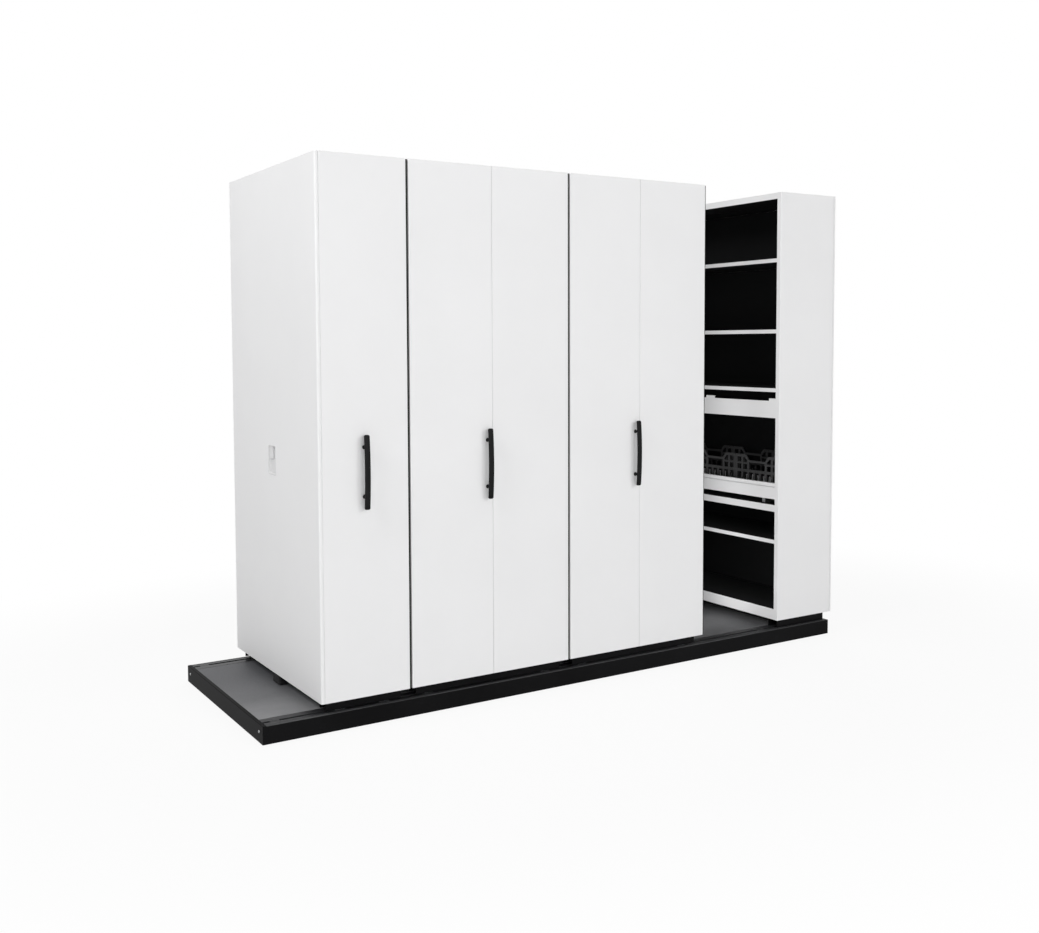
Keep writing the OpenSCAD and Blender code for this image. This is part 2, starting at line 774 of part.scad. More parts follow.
// Pull-out frame: a cut-away front rail, two sides, a back and a middle rail that files hang from
module file_frame() color(white) placed(fixed_x) {
    rail_t = 2;
    depth = slide_x + slide_l - shelf_in;
    translate([shelf_in, 0, panel_z + file_z]) {
        difference() {
            translate([0, shelf_y0 + 1, 0]) along_y(shelf_y1 - shelf_y0 - 2) difference() {
                square([file_rail_d, file_h]);
                translate([sheet, sheet]) square([file_rail_d, file_h - 2 * sheet]);
                translate([8, sheet]) square([file_rail_d, file_h]);
            }
            both_ends() translate([-1, unit_l / 2 - file_ear - file_cut_w, file_h - file_cut_h])
                cube([file_rail_d + 2, file_cut_w, file_cut_h + 1]);
        }
        both_ends() translate([sheet - e, file_y0, frame_lap]) cube([depth - sheet, rail_t, slide_h]);
        translate([sheet - e, unit_l / 2 - rail_t, frame_lap]) cube([depth - sheet, 2 * rail_t, slide_h]);
        translate([depth - rail_t, file_y0, frame_lap]) cube([rail_t, unit_l - 2 * file_y0, slide_h]);
    }
}

// Tray: a folded floor with low walls, and a hollow front with a nosing and a finger groove
tray_y0 = panel_t + tray_side;
rack_d = bay_w - shelf_in - rack_in - rack_back;
tray_back = rack_in + rack_d + 4;
groove_in_x = 8;
module tray_front_profile() {
    z1 = tray_front_h - nosing_h;
    translate([nosing_out, 0]) difference() {
        square([tray_front_d - nosing_out, tray_front_h]);
        translate([-1, z1 - groove_h]) square([groove_in_x + 1, groove_h]);
        translate([sheet, -1]) square([tray_front_d - nosing_out - 2 * sheet, z1 - groove_h - sheet + 1]);
    }
    translate([0, z1]) square([nosing_out + e, nosing_h]);
}

module roll_out_tray() color(white) placed(fixed_x) translate([shelf_in, 0, tray_z]) {
    w = unit_l - 2 * tray_y0;
    floor_l = tray_back - tray_front_d + sheet;
    translate([0, shelf_y0 + 1, 0]) along_y(shelf_y1 - shelf_y0 - 2) tray_front_profile();
    translate([tray_front_d - e, tray_y0, 0]) {
        cube([floor_l, w, sheet]);
        cube([floor_l, sheet, tray_wall_h]);
        translate([0, w - sheet, 0]) cube([floor_l, sheet, tray_wall_h]);
        translate([floor_l - sheet, 0, 0]) cube([sheet, w, tray_wall_h]);
    }
}

// Inner members: a block that runs in each trough and carries the tray's floor
runner_foot = 2;
module tray_slides() color(zinc) placed(fixed_x) both_ends()
    translate([slide_x, runner_y + slide_wall + slide_gap, tray_z - tray_lift + slide_wall + runner_foot])
        along_x(slide_l)
            square([runner_w - 2 * (slide_wall + slide_gap), tray_lift - slide_wall - runner_foot]);

// Rack wall in Y and Z: seven columns of cells, raised ends with sloped shoulders, a long window
// in the lowered middle, and a comb of tall cells below
cols = 7;
rack_w = (unit_l - 2 * (tray_y0 + sheet + 1)) / racks;
cell_w = (rack_w - seat - (cols + 1) * rack_bar) / cols;
cell_step = cell_w + rack_bar;
row_h = 27;
row_bar = 10;
top_bar = 11;
row1_z = rack_h - rack_bar - row_h;
row2_z = row1_z - row_bar - row_h;
module rack_outline() {
    w = rack_w - seat;
    low = rack_h - rack_drop;
    flat = 2 * cell_step - rack_bar;
    slope = 27;
    tip = 4;
    polygon([[0, 0], [w, 0], [w, rack_h - tip], [w - tip, rack_h], [w - flat, rack_h],
             [w - flat - slope / 3, rack_h - tip], [w - flat - slope, low],
             [flat + slope, low], [flat + slope / 3, rack_h - tip], [flat, rack_h],
             [tip, rack_h], [0, rack_h - tip]]);
}

module rack_cells() {
    comb_h = row2_z - 2 * rack_bar;
    for (c = [0 : cols - 1]) translate([rack_bar + c * cell_step, 0]) {
        outer = min(c, cols - 1 - c);
        translate([0, rack_bar]) square([cell_w, comb_h]);
        if (outer < 2) translate([0, row2_z]) square([cell_w, row_h]);
        if (outer == 0) translate([0, row1_z]) square([cell_w, row_h]);
        if (outer == 1) translate([c == 1 ? 0 : cell_w, row1_z]) mirror([c == 1 ? 0 : 1, 0])
            polygon([[0, 0], [cell_w, 0], [cell_w, row_h / 3], [cell_w / 3, row_h], [0, row_h]]);
    }
    translate([rack_bar + 2 * cell_step, row2_z])
        square([3 * cell_step - rack_bar, rack_h - rack_drop - top_bar - row2_z]);
}

// Racks side by side on the tray: a ribbed floor between two lattice walls
rack_floor = 5;
module tray_racks() color(black) placed(fixed_x) for (i = [0 : racks - 1])
    translate([shelf_in + rack_in, tray_y0 + sheet + 1 + i * rack_w + seat / 2, tray_z + sheet]) {
        for (x = [0, rack_d - rack_t]) translate([x, 0, 0]) along_x(rack_t)
            difference() { rack_outline(); rack_cells(); }
        cube([rack_d, rack_w - seat, rack_floor]);
        for (c = [0 : cols]) translate([0, c * cell_step + rack_bar / 2 - 1.5, 0])
            cube([rack_d, 3, rack_bar]);
    }

front_track();
rear_track();
deck_boards();
deck_bearers();
long_fascias();
end_fascias();
fascia_screws();
levelling_feet();
track_end_stops();

fixed_base();
fixed_end_panels();
fixed_back_panel();
uprights(fixed_x, 1);  // fixed_uprights
fixed_shelves();
shelf_clips(fixed_x, 1, fixed_clip_levels);  // fixed_shelf_clips
fixed_top_cover();
fixed_slide_rails();
file_frame();
file_frame_slides();
roll_out_tray();
tray_slides();
tray_racks();

rolling_base(left_x, bay_w);  // left_base
bearings(left_x, bay_w);  // left_bearings
left_end_panels();
left_side_panel();
uprights(left_x, 1);  // left_uprights
left_shelves();
shelf_clips(left_x, 1, roll_levels);  // left_shelf_clips
left_top_cover();
bow_handle(left_x + bay_w / 2);  // left_bow_handle
left_flush_pull();
seals(left_x, bay_w);  // left_seals
left_bump_stop();
axle(left_x + axle_in);  // left_axle_1
axle(left_x + bay_w - axle_in);  // left_axle_2

rolling_base(middle_x, double_w);  // middle_base
bearings(middle_x, double_w);  // middle_bearings
double_end_panels(middle_x);  // middle_end_panels
uprights(middle_x, 2);  // middle_uprights
double_shelves(middle_x);  // middle_shelves
shelf_clips(middle_x, 2, roll_levels);  // middle_shelf_clips
double_top_covers(middle_x);  // middle_top_cover
bow_handle(middle_x + bay_w - bow_side);  // middle_bow_handle
seals(middle_x, double_w);  // middle_seals
axle(middle_x + axle_in);  // middle_axle_1
axle(middle_x + double_w - axle_in);  // middle_axle_2

rolling_base(right_x, double_w);  // right_base
bearings(right_x, double_w);  // right_bearings
double_end_panels(right_x);  // right_end_panels
uprights(right_x, 2);  // right_uprights
double_shelves(right_x);  // right_shelves
shelf_clips(right_x, 2, roll_levels);  // right_shelf_clips
double_top_covers(right_x);  // right_top_cover
bow_handle(right_x + bay_w - bow_side);  // right_bow_handle
seals(right_x, double_w);  // right_seals
axle(right_x + axle_in);  // right_axle_1
axle(right_x + double_w - axle_in);  // right_axle_2
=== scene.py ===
"""Dresses the filing shelving: finishes, handles, joint strips, recessed pull, floor, light and camera."""
import bmesh
import bpy
import numpy as np
from mathutils import Matrix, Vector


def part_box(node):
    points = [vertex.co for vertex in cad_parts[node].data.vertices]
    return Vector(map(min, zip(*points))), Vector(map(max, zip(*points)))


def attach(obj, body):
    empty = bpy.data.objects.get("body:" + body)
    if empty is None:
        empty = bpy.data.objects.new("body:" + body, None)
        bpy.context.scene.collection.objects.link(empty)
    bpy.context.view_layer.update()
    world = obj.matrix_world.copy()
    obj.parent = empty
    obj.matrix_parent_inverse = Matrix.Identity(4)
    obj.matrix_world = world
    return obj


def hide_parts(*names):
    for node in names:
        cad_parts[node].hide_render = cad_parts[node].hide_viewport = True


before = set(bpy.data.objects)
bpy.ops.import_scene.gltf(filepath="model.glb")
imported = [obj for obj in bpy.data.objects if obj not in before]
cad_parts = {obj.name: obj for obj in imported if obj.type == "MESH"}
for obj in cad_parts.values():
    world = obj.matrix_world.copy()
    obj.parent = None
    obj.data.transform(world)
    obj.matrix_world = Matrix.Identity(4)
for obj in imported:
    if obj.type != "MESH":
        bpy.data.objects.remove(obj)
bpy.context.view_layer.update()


# The camera stands before the closed end of the block, a little under eye height, and looks
# along the row towards the open aisle. Its lens and shift give the photograph's framing.
eye = (-3.07552, -4.51507, 1.55652)
look_right = (0.860652, -0.509153, -0.006463)
look_up = (0.034313, 0.045329, 0.998383)
look_back = (-0.508037, -0.859481, 0.056483)
photo_w, photo_h = 1039.0, 933.0
focal_px, centre_x, centre_y = 1111.84, 460.62, 406.44
camera_data = bpy.data.cameras.new("photo_camera")
camera_data.sensor_width = 36.0
camera_data.lens = focal_px * camera_data.sensor_width / photo_w
camera_data.shift_x = (photo_w / 2 - centre_x) / photo_w
camera_data.shift_y = (centre_y - photo_h / 2) / photo_w
camera_data.clip_end = 100.0
camera = bpy.data.objects.new("photo_camera", camera_data)
camera.matrix_world = Matrix(
    [[look_right[i], look_up[i], look_back[i], eye[i]] for i in range(3)] + [[0, 0, 0, 1]])
bpy.context.scene.collection.objects.link(camera)
bpy.context.scene.camera = camera


# Platform fascias and unit bases: board and steel in a black powder coat with a fine orange peel,
# dulled a little in cloudy patches. The long fascias' upper edge, front and rear, has a painted grey
# highlight.
def surface(name):
    """A new material, its node tree and its surface shader."""
    material = bpy.data.materials.new(name)
    material.use_nodes = True
    return material, material.node_tree, material.node_tree.nodes["Principled BSDF"]


def add(tree, kind, operation=None, **sockets):
    """A node of this kind with its sockets set by name, where an underscore stands for a blank."""
    made = tree.nodes.new("ShaderNode" + kind)
    if operation:
        made.operation = operation
    for socket, value in sockets.items():
        made.inputs[socket.replace("_", " ")].default_value = value
    return made


def ramp(tree, start, first, end, last):
    """A colour ramp from the first colour at start to the last colour at end."""
    made = tree.nodes.new("ShaderNodeValToRGB")
    for element, position, colour in zip(made.color_ramp.elements, (start, end), (first, last)):
        element.position = position
        element.color = (*colour, 1)
    return made


def wire(tree, *joins):
    """Joins nodes, each as source, output, target, input."""
    for source, output, target, socket in joins:
        tree.links.new(source.outputs[output], target.inputs[socket])


def mixed(tree, colour):
    """A colour mix whose second colour is set."""
    made = tree.nodes.new("ShaderNodeMix")
    made.data_type = "RGBA"
    made.inputs["B"].default_value = (*colour, 1)
    return made


def baked_coat(name, colour, drift, rough, shine, peel_mm, peel_depth):
    """A powder coat: a slow noise moves the colour by a share drift of itself and the gloss with it, and a
    noise with lumps peel_mm wide gives an orange peel peel_depth metres deep."""
    material, tree, skin = surface(name)
    skin.inputs["Specular IOR Level"].default_value = shine
    place = add(tree, "TexCoord")
    cloud = add(tree, "TexNoise", Scale=2.3, Detail=4.0)
    tint = ramp(tree, 0.3, [c * (1 - drift) for c in colour],
                0.7, [min(1.0, c * (1 + drift)) for c in colour])
    gloss = add(tree, "MapRange", To_Min=rough - 0.05, To_Max=rough + 0.06)
    peel = add(tree, "TexNoise", Scale=1000.0 / peel_mm, Detail=2.0)
    bump = add(tree, "Bump", Strength=0.5, Distance=peel_depth)
    wire(tree, (place, "Object", cloud, "Vector"), (place, "Object", peel, "Vector"),
         (cloud, "Fac", tint, "Fac"), (cloud, "Fac", gloss, "Value"),
         (tint, "Color", skin, "Base Color"), (gloss, "Result", skin, "Roughness"),
         (peel, "Fac", bump, "Height"), (bump, "Normal", skin, "Normal"))
    return material


def wear_and_highlight_streaks(material, wear_and_highlight_colour, streak_start, streak_full):
    """The coat, with scratch-like streaks of a paler colour: wheel wear in the track grooves, a painted
    highlight on the fascias' upper edge. Their share rises from none at streak_start to full at streak_full."""
    tree = material.node_tree
    place = tree.nodes["Texture Coordinate"]
    axes = add(tree, "SeparateXYZ")
    streak_share = add(tree, "MapRange", From_Min=streak_start, From_Max=streak_full)
    stretch = add(tree, "Mapping", Scale=(0.08, 6.0, 1.0))
    scratch = add(tree, "TexNoise", Scale=60.0)
    both = add(tree, "Math", "MULTIPLY")
    under = mixed(tree, wear_and_highlight_colour)
    wire(tree, (place, "Object", axes, "Vector"), (place, "Object", stretch, "Vector"),
         (stretch, "Vector", scratch, "Vector"), (axes, "Z", streak_share, "Value"),
         (streak_share, "Result", both, 0), (scratch, "Fac", both, 1), (both, "Value", under, "Factor"),
         (tree.nodes["Color Ramp"], "Color", under, "A"),
         (under, "Result", tree.nodes["Principled BSDF"], "Base Color"))
    return material


def dress(material, *names):
    """Gives the built pieces of these names one finish."""
    for name in names:
        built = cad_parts[name].data.materials
        built.clear()
        built.append(material)


units = ("left", "middle", "right")
black, painted_highlight_grey = (0.0065, 0.0065, 0.0069), (0.13, 0.132, 0.135)
black_finish = {"drift": 0.25, "rough": 0.45, "shine": 0.027, "peel_mm": 1.6, "peel_depth": 0.00005}
dress(baked_coat("black_powder_coat", black, **black_finish),
      "end_fascias", "fixed_base", *[f"{unit}_base" for unit in units])
# The long fascias' upper edge is painted grey in streaks: a painted highlight along the rounded edge.
fascia_top, edge_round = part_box("long_fascias")[1][2], 0.003
painted_highlight_coat = baked_coat("black_coat_with_painted_highlight", black, **black_finish)
dress(wear_and_highlight_streaks(painted_highlight_coat, painted_highlight_grey, fascia_top - edge_round, fascia_top - edge_round / 3),
      "long_fascias")


# Tracks: grey coated profiles, each with a groove whose floor the wheels have polished
# bright. The polish begins a millimetre above that floor.
groove_depth, polish_begins, polish_full = 0.008, 0.001, 0.0002
groove_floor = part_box("front_track")[1][2] - groove_depth
track_coat = baked_coat("track_coat", (0.020, 0.0205, 0.022),
                        drift=0.2, rough=0.4, shine=0.35, peel_mm=1.4, peel_depth=0.00005)
dress(wear_and_highlight_streaks(track_coat, (0.22, 0.225, 0.23), groove_floor + polish_begins, groove_floor + polish_full),
      "front_track", "rear_track")


# Deck: boards faced with a bluish grey laminate whose print has a fine fleck, under a pale film of dust in
# cloudy patches. The film also fades from the front to the rear: painted light, lighter towards the front.
# Their edges carry the same facing.
def flecked_laminate(front, rear):
    """Laminate: a fine noise prints the fleck. A slow noise lays a thin pale film of dust in patches and
    dulls the gloss, and the film fades from the front to the rear as painted light, lighter towards the
    front."""
    material, tree, skin = surface("deck_laminate")
    skin.inputs["Specular IOR Level"].default_value = 0.15
    place = add(tree, "TexCoord")
    fleck = add(tree, "TexNoise", Scale=420.0, Detail=3.0)
    dust = add(tree, "TexNoise", Scale=3.1, Detail=6.0)
    printed = ramp(tree, 0.35, (0.082, 0.084, 0.089), 0.65, (0.121, 0.123, 0.130))
    film = mixed(tree, (0.32, 0.32, 0.325))
    axes = add(tree, "SeparateXYZ")
    # Painted light: the film is strongest at the front and fades to the rear, so the deck is lighter at the
    # front.
    painted_light_fade = add(tree, "MapRange", From_Min=rear, From_Max=front, To_Min=0.1, To_Max=1.0)
    share = add(tree, "MapRange", From_Min=0.25, From_Max=0.8, To_Max=0.8)
    laid = add(tree, "Math", "MULTIPLY")
    gloss = add(tree, "MapRange", To_Min=0.44, To_Max=0.6)
    bump = add(tree, "Bump", Strength=0.4, Distance=0.00008)
    wire(tree, (place, "Object", fleck, "Vector"), (place, "Object", dust, "Vector"),
         (place, "Object", axes, "Vector"), (axes, "Y", painted_light_fade, "Value"),
         (fleck, "Fac", printed, "Fac"), (printed, "Color", film, "A"), (dust, "Fac", share, "Value"),
         (share, "Result", laid, 0), (painted_light_fade, "Result", laid, 1),
         (laid, "Value", film, "Factor"), (film, "Result", skin, "Base Color"),
         (dust, "Fac", gloss, "Value"), (gloss, "Result", skin, "Roughness"),
         (fleck, "Fac", bump, "Height"), (bump, "Normal", skin, "Normal"))
    return material


deck_low, deck_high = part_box("deck_boards")
dust_and_light_fade_end = 0.5 * deck_high[1]
dress(flecked_laminate(deck_low[1], dust_and_light_fade_end), "deck_boards")


# Zinc: the bearers, clips, bearings and wheelsets are plated steel, and the slides and screws
# have a dull dark plate. The plating has crystals a few millimetres across and a drawn grain.
def zinc_plate(name, colour, rough):
    """Plated steel: Voronoi cells 7 mm wide shift the tone, and a noise drawn out 20 to 1 along X gives the
    grain."""
    material, tree, skin = surface(name)
    skin.inputs["Metallic"].default_value = 1.0
    place = add(tree, "TexCoord")
    crystal = add(tree, "TexVoronoi", Scale=140.0)
    stretch = add(tree, "Mapping", Scale=(1.0, 20.0, 20.0))
    grain = add(tree, "TexNoise", Scale=45.0)
    tone = ramp(tree, 0.0, [c * 0.8 for c in colour], 1.0, [min(1.0, c * 1.15) for c in colour])
    gloss = add(tree, "MapRange", To_Min=rough - 0.08, To_Max=rough + 0.1)
    bump = add(tree, "Bump", Strength=0.3, Distance=0.00004)
    wire(tree, (place, "Object", crystal, "Vector"), (place, "Object", stretch, "Vector"),
         (stretch, "Vector", grain, "Vector"), (crystal, "Color", tone, "Fac"),
         (tone, "Color", skin, "Base Color"),
         (grain, "Fac", gloss, "Value"), (gloss, "Result", skin, "Roughness"),
         (grain, "Fac", bump, "Height"), (bump, "Normal", skin, "Normal"))
    return material


dress(zinc_plate("zinc_plate", (0.46, 0.48, 0.50), rough=0.38),
      "deck_bearers", "fixed_shelf_clips",
      *[f"{unit}_{piece}" for unit in units for piece in ("shelf_clips", "bearings", "axle_1", "axle_2")])
dress(zinc_plate("dark_plate", (0.26, 0.265, 0.27), rough=0.34),
      "fascia_screws", "fixed_slide_rails", "file_frame_slides", "tray_slides")


# Moulded pieces: feet, track stops and racks are black plastic with a spark-eroded grain.
# Seals and the bump stop are duller black rubber, greyed a little by handling.
def moulded(name, dark, streak_share, rough, shine, grain_mm, grain_depth):
    """A moulding: Voronoi cells of grain_mm give a grain grain_depth metres deep, and a slow noise wears the
    colour from dark to worn."""
    material, tree, skin = surface(name)
    skin.inputs["Specular IOR Level"].default_value = shine
    place = add(tree, "TexCoord")
    handling = add(tree, "TexNoise", Scale=9.0, Detail=5.0)
    colour = ramp(tree, 0.4, dark, 0.85, streak_share)
    grain = add(tree, "TexVoronoi", Scale=1000.0 / grain_mm)
    gloss = add(tree, "MapRange", To_Min=rough, To_Max=rough + 0.12)
    bump = add(tree, "Bump", Strength=0.5, Distance=grain_depth)
    wire(tree, (place, "Object", handling, "Vector"), (place, "Object", grain, "Vector"),
         (handling, "Fac", colour, "Fac"), (handling, "Fac", gloss, "Value"),
         (colour, "Color", skin, "Base Color"), (gloss, "Result", skin, "Roughness"),
         (grain, "Distance", bump, "Height"), (bump, "Normal", skin, "Normal"))
    return material


dress(moulded("black_moulding", (0.009, 0.009, 0.0095), (0.018, 0.018, 0.019),
              rough=0.42, shine=0.4, grain_mm=0.9, grain_depth=0.00006),
      "levelling_feet", "track_end_stops", "tray_racks")
dress(moulded("black_rubber", (0.008, 0.008, 0.0085), (0.022, 0.022, 0.023),
              rough=0.6, shine=0.2, grain_mm=0.5, grain_depth=0.00003),
      *[f"{unit}_seals" for unit in units], "left_bump_stop")


# End panels, uprights, tray and file frame: folded sheet steel in a satin white powder coat,
# laid on thick enough to round the folded edges and leave a fine peel.
white = (0.80, 0.80, 0.805)
white_finish = {"drift": 0.012, "peel_mm": 1.8, "peel_depth": 0.00004}
dress(baked_coat("white_powder_coat", white, rough=0.46, shine=0.25, **white_finish),
      "fixed_end_panels", "fixed_uprights", "file_frame", "roll_out_tray",
      *[f"{unit}_{piece}" for unit in units for piece in ("end_panels", "uprights")])


# Closed sides, covers and shelves: the same coat outside, and painted shade inside: all that faces the
# inside is painted black and a little duller. Of a shelf only the two long lips are white, and of a cover
# its top too.
# Painted shade: the inside faces are painted black for the shade within the bays.
painted_shade_black, painted_shade_dulling = (0.0085, 0.0088, 0.0092), 0.4
sheet, folded_edge = 0.0015, 0.012


def painted_shade_coat(name, centre, half, margin, rough):
    """The white coat with painted shade, black and duller: a point is painted dark where, on each axis that
    margin names, it lies nearer to the centre than half less the margin. A margin below zero reaches past
    the half."""
    material = baked_coat(name, white, rough=rough, shine=0.14, **white_finish)
    tree = material.node_tree
    skin = tree.nodes["Principled BSDF"]
    axes = add(tree, "SeparateXYZ")
    wire(tree, (tree.nodes["Texture Coordinate"], "Object", axes, "Vector"))
    shaded_here = None
    for axis in margin:
        k = "XYZ".index(axis)
        near = add(tree, "Math", "COMPARE")
        near.inputs[1].default_value = centre[k]
        near.inputs[2].default_value = half[k] - margin[axis]
        wire(tree, (axes, axis, near, 0))
        if shaded_here:
            both = add(tree, "Math", "MULTIPLY")
            wire(tree, (shaded_here, "Value", both, 0), (near, "Value", both, 1))
        shaded_here = both if shaded_here else near
    coat = mixed(tree, painted_shade_black)
    duller = add(tree, "Math", "MULTIPLY_ADD")
    duller.inputs[1].default_value = painted_shade_dulling
    wire(tree, (shaded_here, "Value", coat, "Factor"), (tree.nodes["Color Ramp"], "Color", coat, "A"),
         (coat, "Result", skin, "Base Color"), (shaded_here, "Value", duller, 0),
         (tree.nodes["Map Range"], "Result", duller, 2), (duller, "Value", skin, "Roughness"))
    return material


def middle_and_half(name):
    """The middle of a built piece's box, and its half size."""
    low, high = (np.array(corner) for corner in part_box(name))
    return (low + high) / 2, (high - low) / 2


for unit in (*units, "fixed"):
    name = f"{unit}_shelves"
    dress(painted_shade_coat(f"{name}_coat", *middle_and_half(name), {"X": sheet / 2}, rough=0.46), name)
for unit in (*units, "fixed"):
    name = f"{unit}_top_cover"
    middle, half = middle_and_half(name)
    dress(painted_shade_coat(f"{name}_coat", middle - (0, 0, sheet), half,
                     {"X": sheet / 2, "Z": -sheet / 2}, rough=0.72), name)
for name, inward in (("left_side_panel", 1), ("fixed_back_panel", -1)):
    middle, half = middle_and_half(name)
    dress(painted_shade_coat(f"{name}_coat", middle + (inward * sheet, 0, 0), half,
                     {"X": -sheet / 2, "Y": folded_edge, "Z": folded_edge}, rough=0.56), name)


# Bow handles: one black moulding each, an arched bar with square-cut, rounded ends on two
# round posts, screwed from behind the panel. The bar drops 7 mm from its middle to its ends.
bow_arch, bow_thick, post_spacing, end_round = 0.007, 0.010, 0.200, 0.0065


def closed_grid(name, points):
    """A closed surface from an array of rings, rows by columns by XYZ: neighbouring rings are joined by
    quads, each ring closes on itself, and the first and last ring are each drawn together in one point."""
    rows, columns = points.shape[:2]
    mesh = bpy.data.meshes.new(name)
    index = np.arange(rows * columns).reshape(rows, columns)
    beside = np.roll(index, -1, axis=1)
    faces = np.stack([index[:-1], beside[:-1], beside[1:], index[1:]], axis=-1).reshape(-1, 4)
    mesh.from_pydata(points.reshape(-1, 3).tolist(), [], faces.tolist())
    mesh.polygons.foreach_set("use_smooth", np.ones(len(mesh.polygons), dtype=bool))
    shell = bmesh.new()
    shell.from_mesh(mesh)
    bmesh.ops.remove_doubles(shell, verts=shell.verts, dist=1e-6)
    bmesh.ops.recalc_face_normals(shell, faces=shell.faces)
    shell.to_mesh(mesh)
    shell.free()
    piece = bpy.data.objects.new(name, mesh)
    bpy.context.scene.collection.objects.link(piece)
    return piece


def squared_ring(count):
    """A squared ring: count points on a superellipse of power 4, as shares of its half width and half
    thickness."""
    turn = np.linspace(0, 2 * np.pi, count, endpoint=False)
    across = np.sign(np.cos(turn)) * np.abs(np.cos(turn)) ** 0.5
    through = np.sign(np.sin(turn)) * np.abs(np.sin(turn)) ** 0.5
    return across, through


def bow_bar(x, face, z, half_w, half_l, out):
    """The bar: a squared ring is carried along the arch, a parabola that falls by bow_arch to the ends. A
    quarter circle of radius end_round draws its width in at each end, and its thickness by half as much."""
    arc = np.linspace(0, np.pi / 2, 9)
    end_s = half_l - end_round + end_round * np.sin(arc)
    end_inset = end_round * (1 - np.cos(arc))
    straight = np.linspace(end_round - half_l, half_l - end_round, 97)
    s = np.concatenate([[-half_l], -end_s[::-1], straight, end_s, [half_l]])
    inset = np.concatenate([[0.0], end_inset[::-1], 0 * straight, end_inset, [0.0]])
    full = np.ones(len(s))
    full[[0, -1]] = 0.0
    across, through = squared_ring(48)
    middle = face - out + bow_thick / 2 + bow_arch * (s / half_l) ** 2
    points = np.empty((len(s), len(across), 3))
    points[..., 0] = x + ((half_w - inset) * full)[:, None] * across
    points[..., 1] = middle[:, None] + ((bow_thick / 2 - inset / 2) * full)[:, None] * through
    points[..., 2] = z + s[:, None]
    return closed_grid("bar", points)


def bow_post(x, face, z, reach):
    """A post: a profile of radius against reach, with a collar at the panel and a flare into the bar, turned
    round Y."""
    profile = np.array([[0, 0], [0.0085, 0], [0.0088, 0.0004], [0.0082, 0.0026], [0.0072, 0.0034],
                        [0.0061, 0.0046], [0.0058, 0.011], [0.0058, reach - 0.008],
                        [0.0066, reach - 0.002], [0.0068, reach], [0, reach]])
    turn = np.linspace(0, 2 * np.pi, 40, endpoint=False)
    points = np.empty((len(profile), len(turn), 3))
    points[..., 0] = x + profile[:, :1] * np.cos(turn)
    points[..., 1] = face - profile[:, 1:]
    points[..., 2] = z + profile[:, :1] * np.sin(turn)
    return closed_grid("post", points)


def joined(name, parts):
    """The parts as one piece of this name."""
    bpy.ops.object.select_all(action="DESELECT")
    for part in parts:
        part.select_set(True)
    bpy.context.view_layer.objects.active = parts[0]
    bpy.ops.object.join()
    parts[0].name = name
    return parts[0]


handle_plastic = moulded("handle_moulding", (0.005, 0.005, 0.0053), (0.009, 0.009, 0.0094),
                         rough=0.38, shine=0.1, grain_mm=0.6, grain_depth=0.00003)
for unit in units:
    (x, y, z), (half_w, half_out, half_l) = middle_and_half(f"{unit}_bow_handle")
    face, out = y + half_out, 2 * half_out
    reach = out - bow_thick / 2 - bow_arch * (post_spacing / 2 / half_l) ** 2
    handle = joined(f"{unit}_handle_moulding",
                    [bow_bar(x, face, z, half_w, half_l, out)]
                    + [bow_post(x, face, z + side * post_spacing / 2, reach) for side in (-1, 1)])
    handle.data.materials.append(handle_plastic)
    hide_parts(f"{unit}_bow_handle")
    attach(handle, f"{unit}_unit")


# Joint strips: white plastic, pressed into the open joints between neighbouring panels at the
# front and the rear, where they keep the dust out. They lie a little below the panels' faces.
panel_joint, strip_below, strip_deep = 0.0015, 0.0009, 0.004
strip_nose, strip_short = 0.0004, 0.001
strip_bodies = {"left": "left_unit", "middle": "middle_unit", "right": "right_unit", "fixed": "platform"}


def joint_strip(x, face, inward, low, high):
    """A strip: a squared ring, as wide as the joint, is carried up Z and drawn in at both ends."""
    s = np.array([low, low, low + strip_nose, high - strip_nose, high, high])
    full = np.array([0.0, 0.7, 1.0, 1.0, 0.7, 0.0])
    across, through = squared_ring(24)
    middle = face + inward * (strip_below + strip_deep / 2)
    points = np.empty((len(s), len(across), 3))
    points[..., 0] = x + (panel_joint / 2 * full)[:, None] * across
    points[..., 1] = middle + (strip_deep / 2 * full)[:, None] * through
    points[..., 2] = s[:, None]
    return closed_grid("strip", points)


strip_plastic = moulded("white_moulding", (0.74, 0.74, 0.745), (0.70, 0.70, 0.705),
                        rough=0.42, shine=0.25, grain_mm=0.5, grain_depth=0.00002)
for unit, body in strip_bodies.items():
    (x, y, z), (half_w, half_d, half_h) = middle_and_half(f"{unit}_end_panels")
    joint_x = {"left": x - half_w - panel_joint / 2, "fixed": x + half_w + panel_joint / 2}.get(unit, x)
    low, high = z - half_h + strip_short, z + half_h - strip_short
    strips = joined(f"{unit}_joint_strips",
                    [joint_strip(joint_x, y - inward * half_d, inward, low, high) for inward in (1, -1)])
    strips.data.materials.append(strip_plastic)
    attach(strips, body)


# Recessed pull: one pressing in light grey, dropped into the closed side. A rolled rim lies on
# the panel, the walls drop with a soft radius, and a finger tab fills the upper rear part.
to_middle, flat_half, least_radius, radius_loss = 1, 0.0006, 0.0004, 0.6


def rounded_ring(half_w, half_h, radius, count):
    """Points round a rectangle of these half sizes, as an array of Y and Z: count points on each corner's
    quarter circle."""
    quarter = np.linspace(0, np.pi / 2, count)
    corners = []
    for k, (side_y, side_z) in enumerate(((1, 1), (-1, 1), (-1, -1), (1, -1))):
        angle = quarter + k * np.pi / 2
        corners.append(np.stack([side_y * (half_w - radius) + radius * np.cos(angle),
                                 side_z * (half_h - radius) + radius * np.sin(angle)], axis=-1))
    return np.concatenate(corners)


